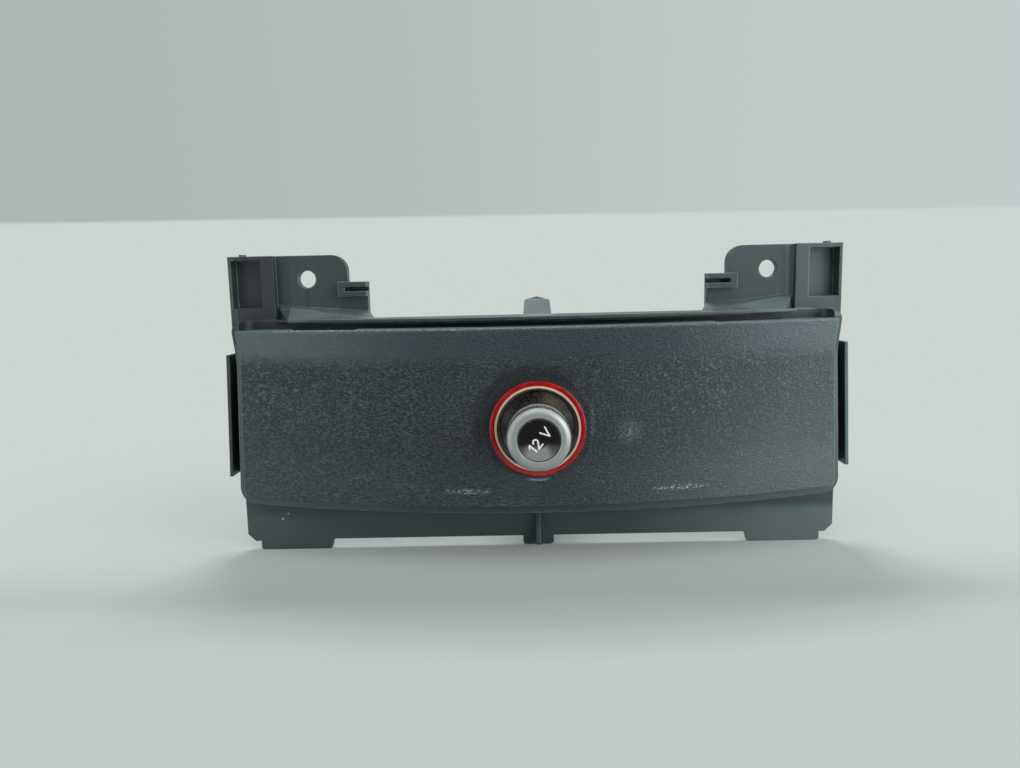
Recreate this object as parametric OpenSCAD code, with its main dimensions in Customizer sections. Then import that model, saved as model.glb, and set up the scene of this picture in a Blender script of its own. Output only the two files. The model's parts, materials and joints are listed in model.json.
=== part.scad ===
// Console trim panel with a 12 V power socket and its pull-out cover plug.
// The grained face bulges towards the user about a vertical axis far behind it. The tray behind it
// carries the screw brackets, the side rails and the lower flange, and the socket sits in the face.
// Lengths are worked out from the socket axis: x to the right, y to the rear, z up, with y = 0 at the
// front of the light ring. The finished pieces are then moved, so that the origin lies midway between
// the two fixing holes, on the front of their plates.

/* [Face panel] */
// Width of the grained face at the height of the socket axis
face_w = 216; // [206:0.5:226]
// Height of the lip's edge above the socket axis
face_up = 35; // [33:0.25:36]
// Depth of the face's lower edge below the socket axis
face_down = 27.5; // [25:0.25:30]
// Wall of the face panel
face_t = 2.5; // [2:0.1:3]
// Radius of the bulge in plan
bow_radius = 325; // [300:1:380]
// Lean of the two sides, wider at the bottom
side_lean = 2.3; // [0:0.1:4]
// Radius of the two lower corners of the face
face_corner_r = 2.6; // [1:0.1:5]
// Height above the axis where the face starts to sweep forwards
sweep_start = 20; // [18:0.25:23]
// Radius of the forward sweep under the lip
sweep_r = 14; // [8:0.5:20]
// Forward slope of the lip
lip_angle = 20; // [10:0.5:24]
// Wall of the flange that runs rearwards from the lip
lip_flange_t = 1.4; // [1:0.1:1.8]
// Depth of that flange behind the face
lip_flange_depth = 8; // [6:0.25:9]
// How far the light ring stands proud of the face
ring_proud = 0.3; // [0:0.05:0.6]
// Outer diameter of the shallow dish around the socket
dish_d = 40; // [37:0.5:46]
// Diameter of the dish's flat floor
dish_floor_d = 35.4; // [34.4:0.1:36.5]
// Depth of the dish's floor behind the front of the light ring
dish_floor_y = 1; // [0.8:0.05:1.4]
// Diameter of the panel's flat seat behind the socket hole
seat_d = 42; // [40:0.5:46]
// Thickness of the panel between the dish's floor and the seat
seat_t = 3; // [2.6:0.1:3.6]

/* [Panel screws] */
// Distance of the screw bosses from the middle
boss_x = 57; // [50:0.5:64]
// Height of the upper bosses above the axis
boss_up = 22; // [18:0.5:23]
// Depth of the lower bosses below the axis
boss_down = 19; // [15:0.5:20]
// Diameter of the screw bosses
boss_d = 6; // [5:0.25:7]
// Diameter of the screw shank
screw_d = 2.8; // [2.2:0.1:3]
// Diameter of the screw head
screw_head_d = 6.2; // [5.4:0.1:7]
// Height of the screw head
screw_head_h = 2.2; // [1.6:0.1:2.8]
// Length of the shank inside the boss
screw_bite = 7; // [5:0.5:8]

/* [Carrier] */
// Ledge of the carrier that shows around the face
rim_ledge = 2.7; // [1.8:0.1:3.5]
// Lap of the ledge behind the face
rim_lap = 2.4; // [1.8:0.1:3]
// Wall of the tray
tray_wall = 2.1; // [1.6:0.1:2.6]
// Depth of the carrier's back plate behind the front of the ring
back_y = 24; // [23:0.25:26]
// Thickness of the back plate
back_t = 2.5; // [2:0.1:3]
// Width of the back plate inside the tray wall
back_band = 8; // [6:0.5:9]
// Height of the rear rim above the axis
rear_rim_up = 38; // [37.5:0.25:40]
// Thickness of the rear rim's front edge
rim_lip_t = 1.1; // [0.8:0.1:1.6]
// Depth of the undercut below that edge
rim_undercut = 4.5; // [2:0.25:6]
// Set-back of the rear rim behind the face
rear_rim_set = 9; // [8.5:0.25:10]
// Outer radius of the rim's upper corners
rim_corner_r = 4.5; // [3:0.25:6]
// Radius over the top of the rim's forward ends
rim_end_r = 2.5; // [1.5:0.1:3]
// Width of the closed ends of the groove at the height of the lip
groove_end_w = 3.5; // [2.5:0.1:4.5]
// Radius in plan inside the groove's ends
groove_end_r = 3; // [1.5:0.1:4]
// Distance of the inner upright ribs from the middle
rib_in_x = 36; // [30:0.5:42]
// Distance of the outer upright ribs from the middle
rib_out_x = 76; // [70:0.5:82]
// Thickness of the ribs
rib_t = 1.6; // [1.2:0.1:2]

/* [Lower flange] */
// Width of the flange
flange_w = 221.4; // [216:0.5:230]
// Depth of its straight lower edge below the axis
flange_down = 45.6; // [44:0.25:47]
// Depth of the two feet below the axis
foot_down = 49.4; // [48.6:0.1:51]
// Distance of the inner edge of a foot from the middle
foot_x = 78.6; // [72:0.5:84]
// Distance of the outer edge of a foot from the middle
foot_end_x = 105.8; // [100:0.5:106.2]
// Radius of the corners of the feet and the tab
foot_corner_r = 1.2; // [0.6:0.1:2]
// Size of the clipped corner outside each foot
flange_clip = 2.8; // [2:0.1:3.6]
// Width of the middle tab
tab_w = 11.6; // [9:0.2:13]
// Depth of the middle tab below the axis
tab_down = 49.1; // [48.4:0.1:50.5]
// Thickness of the locating fin on the middle tab
fin_t = 1.4; // [1:0.1:2]
// How far the fin reaches forwards at its lower end
fin_reach = 6; // [3:0.25:7]

/* [Brackets] */
// Distance between the two fixing holes
hole_spacing = 170; // [162:0.5:176]
// Diameter of the fixing holes
hole_d = 6.4; // [5:0.1:7]
// Width of the chamfer at the front of the fixing holes
hole_chamfer = 0.3; // [0.2:0.1:0.4]
// Offset of the fixing holes, clips and top lug to the right of the socket axis
upper_shift = 1.1; // [0:0.1:1.5]
// Height of the fixing holes above the axis
hole_up = 52.6; // [51.5:0.1:54]
// Height of the bracket's top above the axis
bracket_up = 61.3; // [60:0.1:63]
// Depth of the plate's front behind the front of the ring
plate_y = 29; // [28.5:0.25:30]
// Thickness of the plate
plate_t = 3; // [2.4:0.1:3.6]
// Distance from a fixing hole to the inner edge of its plate
plate_reach = 15.2; // [14:0.1:17]
// Corner radius of the plate
plate_corner_r = 6; // [3:0.25:8]
// Half the width across the outer sides of the brackets
bracket_out = 112; // [110.5:0.1:113.5]
// Depth of the pocket block's front behind the front of the ring
block_y = 26; // [25.5:0.25:26.5]
// Depth of the pocket block
block_len = 7.5; // [7:0.1:9]
// Width of the pocket
pocket_w = 11; // [9:0.1:12]
// Depth of the pocket
pocket_depth = 5.7; // [5:0.1:6]
// Wall outside the pocket
pocket_wall = 1; // [0.8:0.1:2]
// Wall above the pocket
pocket_top = 1.5; // [1:0.1:2.5]
// Height of the pocket's floor above the axis
pocket_floor_up = 42.2; // [40.5:0.1:43]
// How far the ramp spreads beyond its plate at either end
ramp_spread = 5; // [3:0.1:6]
// Width of the strip between the pocket and the plate
strip_w = 4.7; // [4:0.1:5.5]

/* [Slotted clips] */
// Width of a clip block
clip_w = 10.5; // [8:0.1:11]
// How far a clip block laps onto its plate
clip_lap = 3.2; // [2:0.1:4]
// Height of a clip block
clip_h = 5.3; // [4.6:0.1:6]
// Height of its lower face above the axis
clip_up = 46; // [45:0.1:46.5]
// Height of the slot
slot_h = 1.6; // [1:0.1:1.8]
// Length of the slot from the inner side
slot_w = 8; // [5:0.1:8]
// Wall left behind the slot
slot_back = 1.5; // [1:0.1:2]
// How far the slotted clips stand forward of the plate
clip_forward = 3.5; // [2:0.1:4.5]

/* [Side rails] */
// Half the width across the rails at the height of the socket axis
rail_out = 115.2; // [114.4:0.1:118]
// Top of a rail above the axis
rail_up = 25.4; // [22:0.2:28]
// Bottom of a rail below the axis
rail_down = 20.5; // [18:0.2:24]
// Wall of a rail
rail_wall = 1.2; // [1:0.1:1.6]
// Depth of a rail from front to rear
rail_depth = 10; // [8:0.25:12]

/* [Top lug] */
// Width of the lug at its foot
lug_w = 10.2; // [8:0.1:12]
// Width of the lug at its top
lug_top_w = 9.4; // [7:0.1:11]
// Rise of the lug above the rear rim
lug_rise = 5.4; // [4:0.1:6]
// Thickness of the lug
lug_t = 1.8; // [1.4:0.1:2.4]
// Rise of the gabled rib behind the lug over its top
lug_gable = 0.9; // [0.5:0.1:1.5]

/* [Socket] */
// Outer diameter of the light ring
ring_d = 33; // [32.4:0.1:34]
// Diameter of the socket's mouth
mouth_d = 28; // [27:0.1:28.4]
// Inner diameter of the barrel
barrel_d = 21.2; // [20.9:0.05:21.5]
// Wall of the barrel
barrel_t = 0.8; // [0.6:0.05:1]
// Depth of the funnel between the mouth and the barrel
funnel_depth = 9; // [7.5:0.25:10.5]
// Length of the barrel from the front of the ring to its outer bottom
barrel_len = 46; // [44:0.5:50]
// Wall of the light ring's sleeve
sleeve_t = 1.8; // [1.5:0.1:2]
// Depth of the light ring's sleeve
sleeve_len = 36; // [34:0.5:37]
// Outer diameter of the retaining collar
collar_d = 39; // [37:0.5:41]
// Rear end of the retaining collar
collar_end = 20; // [18:0.5:21]
// Wall of the retaining collar
collar_wall = 1.8; // [1.5:0.1:2.2]
// Depth of the light ring's head, where its sleeve and the collar begin to narrow
ring_head_len = 8; // [7.5:0.1:8.5]
// Length of the slots for the ground springs
spring_len = 15; // [12:0.5:17]
// Width of the ground springs
spring_w = 5; // [4:0.1:6]
// Strip thickness of the ground springs
spring_t = 0.4; // [0.3:0.05:0.5]
// Gap left between a ground spring and the plug
spring_gap = 0.35; // [0.3:0.05:0.4]

/* [Rear contacts] */
// Thickness of the inner insulator
insulator_t = 2; // [1.6:0.1:2.6]
// Diameter of the insulator's spigot through the barrel's bottom
spigot_d = 11.8; // [10:0.1:13]
// Diameter of the centre contact
contact_d = 8.4; // [7:0.1:9]
// Diameter of the rivet's shank
rivet_d = 3; // [2.4:0.1:3.4]
// Strip thickness of the terminals
terminal_t = 0.8; // [0.6:0.05:1]
// Width of the terminal blades
blade_w = 6.3; // [4.8:0.1:6.6]
// Length of the blades behind the connector's floor
blade_len = 9; // [7:0.5:11]
// Width of the connector's shroud
shroud_w = 21; // [20:0.25:23]
// Height of the connector's shroud
shroud_h = 13; // [12:0.25:15]
// Depth of the connector's shroud
shroud_len = 14; // [13:0.5:18]
// Wall of the connector
shroud_wall = 1.4; // [1.2:0.1:1.8]
// Width of the latch tongue on top of the shroud
latch_w = 6; // [5:0.25:8]

/* [Lamp] */
// Distance of the lamp's centre behind the front of the ring
lamp_y = 28; // [27:0.25:29]
// Diameter of the bulb
bulb_d = 4.8; // [4:0.1:5.2]
// Height of the bulb's glass
bulb_h = 7; // [6:0.1:8]
// Length of the bulb's flat base
base_len = 5.5; // [4.5:0.1:6]
// Thickness of the bulb's flat base
base_t = 2.2; // [1.8:0.1:2.6]
// Width of the lamp holder
holder_w = 11.2; // [10.6:0.1:13]
// Depth of the lamp holder from front to rear
holder_len = 11; // [10:0.25:13]
// Height of the lamp holder above the sleeve
holder_rise = 12.5; // [12:0.25:15]
// Width of the clamp that holds the lamp on the sleeve
clamp_w = 8; // [7:0.25:10]
// Wall of the clamp
clamp_wall = 1.8; // [1.4:0.1:2.2]
// Width of the lamp's terminal blades
lamp_blade_w = 2.8; // [2.2:0.1:3.2]
// Length of the lamp's terminal blades
lamp_blade_len = 14; // [12:0.5:16]
// Height of the lamp's terminal blades above the sleeve
lamp_blade_rise = 9; // [8:0.1:9.4]

/* [Cover plug] */
// Diameter of the knob
knob_d = 20.6; // [19.5:0.1:22]
// Length of the knob
knob_len = 9.5; // [8:0.1:11]
// Distance from the ring's front to the knob's front
knob_front = 18.4; // [17:0.1:20]
// Radius of the knob's front edge
knob_edge_r = 2; // [1:0.1:2.6]
// Diameter of the cap disc
cap_d = 14; // [12.5:0.1:15]
// Thickness of the cap disc
cap_t = 1.6; // [1.2:0.1:2]
// Diameter of the spigot that the knob turns on
turn_d = 12; // [10:0.1:12.4]
// Diameter of the stem inside the barrel
stem_d = 18.4; // [17:0.1:18.8]
// Depth of the stem behind the front of the ring
stem_in = 28; // [26:0.25:29]
// Wall of the hollow stem
stem_wall = 2; // [1.6:0.1:2.6]

/* [Clearances] */
// Radial gap between nested fixed pieces
nest_gap = 0.1; // [0.05:0.01:0.15]
// Gap between the face panel and the tray
panel_gap = 0.1; // [0.05:0.01:0.2]
// Radial gap of the knob on its spigot
turn_gap = 0.06; // [0.02:0.01:0.09]
// Gap of the plug in the socket's funnel, and of the knob over the stem's shoulder
plug_gap = 0.35; // [0.3:0.05:0.45]

/* [Hidden] */

$fn = 72;
bow_fn = 360;
far = 400;
sides = [-1, 1];

bow_centre_y = ring_proud + bow_radius;
face_half = face_w / 2;
rim_half = face_half + rim_ledge;
sweep_centre = [-sweep_r, sweep_start];
rim_down = face_down + rim_ledge;
rim_width = rim_ledge + rim_lap;
tray_depth = face_t + panel_gap;
back_end_y = back_y + back_t;
lip_flange_up = face_up - 0.2;
groove_floor_z = lip_flange_up - lip_flange_t - 0.4;
groove_half = side_at(rim_half, face_up) - groove_end_w;
tray_front_y = lip_point(0, rear_rim_up)[0];

hole_x = hole_spacing / 2;
plate_in_x = hole_x - plate_reach;
block_in_x = bracket_out - pocket_wall - pocket_w - strip_w;
clip_in_x = plate_in_x + clip_lap - clip_w;
plate_end_y = plate_y + plate_t;
bracket_root_z = rear_rim_up - tray_wall - 0.3;

ring_r = ring_d / 2;
mouth_r = mouth_d / 2;
barrel_r = barrel_d / 2;
barrel_out_r = barrel_r + barrel_t;
shell_front_y = 0.15;
shell_rim_y = 1.35;
shell_rim_r = mouth_r + 0.85;
funnel_run = funnel_depth - shell_front_y;
funnel_skin = 1.08 * barrel_t;
sleeve_in_r = barrel_out_r + nest_gap;
sleeve_out_r = sleeve_in_r + sleeve_t;
ring_body_r = ring_r - 0.6;
ring_neck_y = ring_head_len + ring_body_r - sleeve_out_r;
panel_hole_r = ring_body_r + nest_gap;
seat_y = dish_floor_y + seat_t;

spring_start_y = funnel_depth + 2.5;
spring_end_y = spring_start_y + spring_len;
stem_r = stem_d / 2;
knob_r = knob_d / 2;
knob_rear_y = knob_len - knob_front;
stem_front_y = knob_rear_y + plug_gap;

barrel_floor_y = barrel_len - barrel_t;
insulator_y = barrel_floor_y - insulator_t;
washer_y = barrel_len + terminal_t;
washer_t = 1.2;
washer_r = spigot_d / 2 + 1;
centre_plate_y = washer_y + washer_t;
housing_floor_y = centre_plate_y + terminal_t + 1.4;
housing_floor_t = 1.6;
shroud_y = housing_floor_y + housing_floor_t;
blade_gap = 4.6;
blade_end_y = shroud_y + blade_len;

holder_half = holder_w / 2;
holder_up = sleeve_out_r + holder_rise;
lamp_blade_t = 0.6;
lamp_blade_x = 3.7;
lamp_blade_z = sleeve_out_r + lamp_blade_rise;

// Shape helpers

// Pieces are drawn around the socket axis and end up around the fixing holes.
module to_frame() {
    translate([-upper_shift, -plate_y, -hole_up]) children();
}

// A flat shape in x and z, made solid from y = front to y = front + length.
module along_y(front, length) {
    translate([0, front + length, 0]) rotate([90, 0, 0]) linear_extrude(length) children();
}

// A flat shape in y and z, made solid across x.
module along_x(left, width) {
    translate([left, 0, 0]) rotate([90, 0, 90]) linear_extrude(width) children();
}

// A section of radius and depth, turned about the socket axis.
module turned() {
    rotate([-90, 0, 0]) rotate_extrude() children();
}

module disc_y(front, length, radius) {
    along_y(front, length) circle(radius);
}

// Everything that lies at least this depth behind the bulged front of the face.
module behind_face(depth) {
    translate([0, bow_centre_y, -far / 2]) cylinder(r = bow_radius - depth, h = far, $fn = bow_fn);
}

// A section of depth behind the face and height, swept along the bulge.
module bowed() {
    translate([0, bow_centre_y, 0]) rotate([0, 0, -120]) rotate_extrude(angle = 60, $fn = bow_fn)
        translate([bow_radius, 0]) mirror([1, 0]) children();
}

function bow_y(x, depth) = bow_centre_y - sqrt(pow(bow_radius - depth, 2) - x * x);

function arc(centre, radius, from, to, steps = 6) = [
    for (i = [0:steps]) let (turn = from + (to - from) * i / steps) centre + radius * [cos(turn), sin(turn)]
];

function side_at(half, z) = half - z * tan(side_lean);

// Where the lip's slope, continued at this depth behind the face, passes a height.
function lip_point(depth, z) =
    let (foot = sweep_centre + (sweep_r + depth) * [cos(lip_angle), sin(lip_angle)])
    [foot[0] - (z - foot[1]) * tan(lip_angle), z];

// Everything behind the face's form, its sweep and lip included, at this depth. Its top edge is rounded.
module behind_sweep(depth, top_r) {
    low = -rim_down - 1;
    turn = lip_point(depth, rear_rim_up - top_r) + [top_r, 0];
    bowed() polygon(concat(
        [[far / 8, low], [depth, low]],
        arc(sweep_centre, sweep_r + depth, 0, lip_angle),
        arc(turn, top_r, 180, 90),
        [[far / 8, rear_rim_up]]
    ));
}

// Front outline of the face or the tray: leaning sides, rounded corners.
function panel_outline(half, down, up, low_r, top_r) = concat(
    arc([side_at(half, -down) - low_r, low_r - down], low_r, -90, 0),
    arc([side_at(half, up) - top_r, up - top_r], top_r, 0, 90),
    arc([top_r - side_at(half, up), up - top_r], top_r, 90, 180),
    arc([low_r - side_at(half, -down), low_r - down], low_r, 180, 270)
);

// Face panel

// Section of the face from its lower edge to the lip: flat, a concave sweep, then a sloping lip.
function face_section() =
    let (edge_r = 0.9)
    concat(
        [[face_t, -face_down]],
        arc([edge_r, edge_r - face_down], edge_r, 270, 180, 4),
        arc(sweep_centre, sweep_r, 0, lip_angle),
        arc(lip_point(0, face_up - edge_r) + [edge_r, 0], edge_r, 180, 90, 4),
        [lip_point(face_t, face_up)],
        arc(sweep_centre, sweep_r + face_t, lip_angle, 0)
    );

// The flange is cut away below the ramps of the two brackets, and it ends short of the groove's ends.
module lip_flange() {
    end_x = groove_half - groove_end_r - 0.3;
    difference() {
        bowed() translate([0.2 - face_t, lip_flange_up - lip_flange_t])
            square([lip_flange_depth + face_t - 0.2, lip_flange_t]);
        for (side = sides) mirror([side < 0 ? 1 : 0, 0, 0]) {
            translate([clip_in_x, bow_y(clip_in_x, 0.8), face_up - 4])
                cube([block_in_x - 2 * strip_w + 2 - clip_in_x, far, 6]);
            translate([end_x, -far / 2, 0]) cube(far);
        }
        translate([-far / 2, back_y - panel_gap, 0]) cube(far);
    }
}

module at_bosses() {
    for (side = sides) {
        translate([side * boss_x, 0, boss_up]) children();
        translate([side * boss_x, 0, -boss_down]) children();
    }
}

module face_panel() color([0.3, 0.33, 0.33]) to_frame() {
    boss_y = bow_y(boss_x, face_t * 0.6);
    difference() {
        union() {
            intersection() {
                union() {
                    bowed() polygon(face_section());
                    lip_flange();
                }
                along_y(-far / 20, far / 5)
                    polygon(panel_outline(face_half, face_down, face_up, face_corner_r, 0.8));
            }
            disc_y(bow_y(seat_d / 2, face_t / 2), seat_y - bow_y(seat_d / 2, face_t / 2), seat_d / 2);
            at_bosses() disc_y(boss_y, back_y - boss_y, boss_d / 2);
        }
        dish();
        disc_y(-1, seat_y + 2, panel_hole_r);
        at_bosses() disc_y(back_y - screw_bite - 1, screw_bite + 2, screw_d / 2 + nest_gap / 2);
    }
}

// The dish widens from its flat floor to its rim on the face.
module dish() {
    rise = dish_floor_y - ring_proud;
    spread = (dish_d - dish_floor_d) / 2;
    turned() polygon([
        [0, dish_floor_y],
        [dish_floor_d / 2, dish_floor_y],
        [dish_floor_d / 2 + 3 * spread, dish_floor_y - 3 * rise],
        [0, dish_floor_y - 3 * rise]
    ]);
}

module panel_screws() color("dimgray") to_frame() {
    at_bosses() {
        disc_y(back_y - screw_bite, screw_bite + back_t + 0.1, screw_d / 2);
        difference() {
            disc_y(back_end_y, screw_head_h, screw_head_d / 2);
            along_y(back_end_y + screw_head_h / 2, screw_head_h) {
                square([screw_head_d * 0.62, 0.9], center = true);
                square([0.9, screw_head_d * 0.62], center = true);
            }
        }
    }
}

// Carrier

module carrier() color([0.2, 0.22, 0.23]) to_frame() {
    difference() {
        union() {
            tray();
            back_plate();
            ribs();
            for (side = sides) mirror([side < 0 ? 1 : 0, 0, 0]) {
                groove_end();
                bracket(side * upper_shift);
                rail();
            }
            locating_fin();
            translate([upper_shift, 0, 0]) top_lug();
        }
        for (side = sides) translate([side * hole_x + upper_shift, 0, hole_up]) fixing_hole();
        at_bosses() disc_y(back_y - 1, back_t + 2, screw_d / 2 + 0.3);
    }
}

module fixing_hole() {
    hole_r = hole_d / 2;
    disc_y(plate_y - 1, plate_t + 2, hole_r);
    translate([0, plate_y + hole_chamfer, 0]) rotate([90, 0, 0])
        cylinder(r1 = hole_r, r2 = hole_r + 2 * hole_chamfer, h = 2 * hole_chamfer);
}

module tray_prism(inset, front, length) {
    along_y(front, length) polygon(panel_outline(
        rim_half - inset, rim_down - inset, rear_rim_up - inset,
        face_corner_r + rim_ledge - 0.6 * inset, rim_corner_r - 0.6 * inset
    ));
}

// The wall runs all round behind the face, with a ledge at its front that the face panel lies on.
// The ledge follows the sweep and the lip of the face. Between its two forward ends the top wall stands
// further back, which leaves the groove.
module tray() {
    difference() {
        intersection() {
            tray_prism(0, tray_front_y, back_end_y - tray_front_y);
            behind_sweep(tray_depth, rim_end_r);
        }
        difference() {
            tray_prism(tray_wall, tray_front_y - 1, far);
            difference() {
                behind_sweep(tray_depth, rim_end_r);
                behind_sweep(tray_depth + tray_wall, 1);
            }
        }
        along_y(tray_front_y - 1, far) polygon(panel_outline(
            rim_half - rim_width, rim_down - rim_width, rear_rim_up - tray_wall,
            face_corner_r, rim_corner_r - tray_wall
        ));
        groove();
    }
}

// Room between the lip and the rear rim, with an undercut below the rim's thin edge.
module groove() {
    difference() {
        translate([-groove_half, tray_front_y, groove_floor_z]) cube([2 * groove_half, far, far]);
        behind_face(rear_rim_set);
    }
    difference() {
        translate([-groove_half, tray_front_y, groove_floor_z])
            cube([2 * groove_half, back_y - tray_front_y, rear_rim_up - rim_lip_t - groove_floor_z]);
        behind_face(rear_rim_set + rim_undercut);
    }
}

// The solid end of the groove, rounded in plan where it meets the bracket.
module groove_end() {
    low = groove_floor_z - tray_wall;
    start = groove_half - groove_end_r;
    intersection() {
        translate([0, 0, low]) linear_extrude(rear_rim_up - low) difference() {
            translate([start, tray_front_y]) square([far / 4, back_end_y - tray_front_y]);
            translate([start - 1, tray_front_y - 1])
                square([groove_end_r + 1, back_y - groove_end_r - tray_front_y + 1]);
            translate([start, back_y - groove_end_r]) circle(groove_end_r);
        }
        tray_prism(0, tray_front_y, back_end_y - tray_front_y);
        behind_sweep(tray_depth, rim_end_r);
    }
}

module back_plate() {
    along_y(back_y, back_t) difference() {
        union() {
            polygon(panel_outline(
                rim_half, rim_down - 0.2, rear_rim_up - 0.2, face_corner_r + rim_ledge, rim_corner_r
            ));
            flange_outline();
        }
        difference() {
            polygon(panel_outline(
                rim_half - tray_wall - back_band, rim_down - tray_wall - back_band,
                rear_rim_up - tray_wall - back_band, 3, 3
            ));
            for (x = [-boss_x, boss_x]) {
                translate([x - boss_d, boss_up - boss_d]) square([2 * boss_d, far]);
                translate([x - boss_d, boss_d - boss_down - far]) square([2 * boss_d, far]);
            }
        }
    }
}

module flange_outline() {
    half = flange_w / 2;
    side_end = flange_down - flange_clip + 0.4;
    for (side = sides) mirror([side < 0 ? 1 : 0, 0]) {
        polygon(concat(
            [[0, -rim_down + 6], [half, -rim_down + 6]],
            [[half, -side_end], [half - flange_clip, -side_end - flange_clip]],
            [[foot_end_x, -side_end - flange_clip]],
            arc([foot_end_x - foot_corner_r, foot_corner_r - foot_down], foot_corner_r, 0, -90, 3),
            arc([foot_x + foot_corner_r, foot_corner_r - foot_down], foot_corner_r, -90, -180, 3),
            [[foot_x - 0.6, -flange_down], [tab_w / 2, -flange_down]],
            arc([tab_w / 2 - foot_corner_r, foot_corner_r - tab_down], foot_corner_r, 0, -90, 3),
            [[0, -tab_down]]
        ));
    }
}

// Upright ribs stiffen the tray behind the face.
module ribs() {
    intersection() {
        for (side = sides) for (x = [rib_in_x, rib_out_x])
            translate([side * x - rib_t / 2, 0, 1 - rim_down])
                cube([rib_t, back_end_y, rim_down + groove_floor_z - 1]);
        behind_sweep(tray_depth + 0.2, 1);
    }
}

// A bracket is a plate for the fixing hole, a pocketed block outside it, a ramp below and a slotted clip.
// The plate and the clip are moved outwards by shift, and the block stays.
module bracket(shift) {
    plate_in = plate_in_x + shift;
    clip_in = clip_in_x + shift;
    plate_out = block_in_x + strip_w / 2;
    root_out = side_at(rim_half, rear_rim_up) - 0.5;
    along_y(plate_y, plate_t) polygon(concat(
        [[clip_in, bracket_root_z], [clip_in, clip_up + 1], [plate_in, clip_up + 1]],
        arc([plate_in + plate_corner_r, bracket_up - plate_corner_r], plate_corner_r, 180, 90),
        [[plate_out, bracket_up], [plate_out, bracket_root_z]]
    ));
    difference() {
        along_y(block_y, block_len) translate([block_in_x, bracket_root_z])
            square([bracket_out - block_in_x, bracket_up - bracket_root_z]);
        along_y(block_y - 1, pocket_depth + 1) translate([block_in_x + strip_w, pocket_floor_up])
            square([pocket_w, bracket_up - pocket_top - pocket_floor_up]);
    }
    along_y(back_y, plate_end_y - back_y) translate([clip_in, bracket_root_z])
        square([root_out - clip_in, tray_wall]);
    ramp(clip_in);
    slotted_clip(clip_in);
    translate([bracket_out - 5.4, block_y + 1, bracket_up - 1]) cube([1.4, 4, 1.7]);
}

// The ramp rises from the rear rim to the plate. It is taller towards the outside, and both of its ends
// spread towards the rim.
module ramp(clip_in) {
    low_z = rear_rim_up - 1;
    front_z = rear_rim_up - 0.1;
    inner_x = clip_in - ramp_spread;
    inner_y = bow_y(inner_x, rear_rim_set + 0.2);
    outer_x = block_in_x - ramp_spread;
    outer_y = min(bow_y(outer_x, rear_rim_set + 0.2), plate_y - 2);
    inner_rise = 2.6;
    outer_rise = 5.3;
    points = [
        [inner_x, inner_y, front_z], [clip_in, plate_y + 0.5, rear_rim_up + inner_rise],
        [clip_in, plate_y + 0.5, low_z], [inner_x, inner_y, low_z],
        [outer_x, outer_y, front_z], [block_in_x + 0.5, plate_y + 0.5, rear_rim_up + outer_rise],
        [block_in_x + 0.5, plate_y + 0.5, low_z], [outer_x, outer_y, low_z]
    ];
    hull() polyhedron(points, [
        [0, 1, 2, 3], [7, 6, 5, 4], [0, 4, 5], [0, 5, 1], [1, 5, 6, 2], [2, 6, 7, 3], [3, 7, 4, 0]
    ]);
}

// The slot opens to the front and to the inner side, and has a wall behind it.
module slotted_clip(clip_in) {
    front = plate_y - clip_forward;
    length = plate_end_y - front;
    difference() {
        along_y(front, length) translate([clip_in, clip_up]) square([clip_w, clip_h]);
        along_y(front - 1, length + 1 - slot_back)
            translate([clip_in - 1, clip_up + (clip_h - slot_h) / 2]) square([slot_w + 1, slot_h]);
    }
}

// A rail is a channel that opens forwards beside the tray.
module rail() {
    lean = tan(side_lean);
    inner = rim_half - tray_wall;
    module band(from_half, to_half) {
        polygon([
            [from_half + rail_down * lean, -rail_down], [to_half + rail_down * lean, -rail_down],
            [to_half - rail_up * lean, rail_up], [from_half - rail_up * lean, rail_up]
        ]);
    }
    along_y(back_y, rail_depth) band(rail_out - rail_wall, rail_out);
    along_y(back_y, rail_depth) band(inner, inner + tray_wall);
    along_y(back_y + rail_depth - 2 * rail_wall, 2 * rail_wall) band(inner, rail_out);
}

// The fin stands on the middle tab and reaches forwards towards its lower end.
module locating_fin() {
    foot_z = 1.6 - tab_down;
    along_x(-fin_t / 2, fin_t) polygon([
        [back_y + 0.5, 1 - rim_down], [back_y - 0.6, 1 - rim_down], [back_y - fin_reach, foot_z + 1.2],
        [back_y - fin_reach + 0.6, foot_z], [back_y + 0.5, foot_z]
    ]);
}

// The lug leans rearwards from the rear rim, narrows to its rounded top and has a gabled rib behind it.
module top_lug() {
    foot_z = rear_rim_up - tray_wall;
    top_z = rear_rim_up + lug_rise;
    foot_half = lug_w / 2;
    top_half = lug_top_w / 2;
    corner_r = 0.8;
    rib_y = back_y + lug_rise + 0.6;
    intersection() {
        along_x(-lug_w, 2 * lug_w) polygon([
            [back_y, foot_z], [back_y, rear_rim_up], [back_y + lug_rise, top_z],
            [back_y + lug_rise + lug_t, top_z], [back_y + lug_t, foot_z]
        ]);
        along_y(back_y - 1, far / 8) polygon(concat(
            [[-foot_half, foot_z - 1], [foot_half, foot_z - 1], [foot_half, rear_rim_up]],
            arc([top_half - corner_r, top_z - corner_r], corner_r, 0, 90, 3),
            arc([corner_r - top_half, top_z - corner_r], corner_r, 90, 180, 3),
            [[-foot_half, rear_rim_up]]
        ));
    }
    along_y(rib_y, 2 * lug_t) polygon([
        [-top_half + 0.4, foot_z], [top_half - 0.4, foot_z], [top_half - 0.4, top_z - 0.2],
        [0, top_z + lug_gable], [0.4 - top_half, top_z - 0.2]
    ]);
    along_y(back_y, lug_rise + 0.6 + 2 * lug_t) translate([-foot_half, foot_z]) square([lug_w, tray_wall]);
}

// Socket

function funnel_r(y) = mouth_r - (mouth_r - barrel_r) * (y - shell_front_y) / funnel_run;

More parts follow.
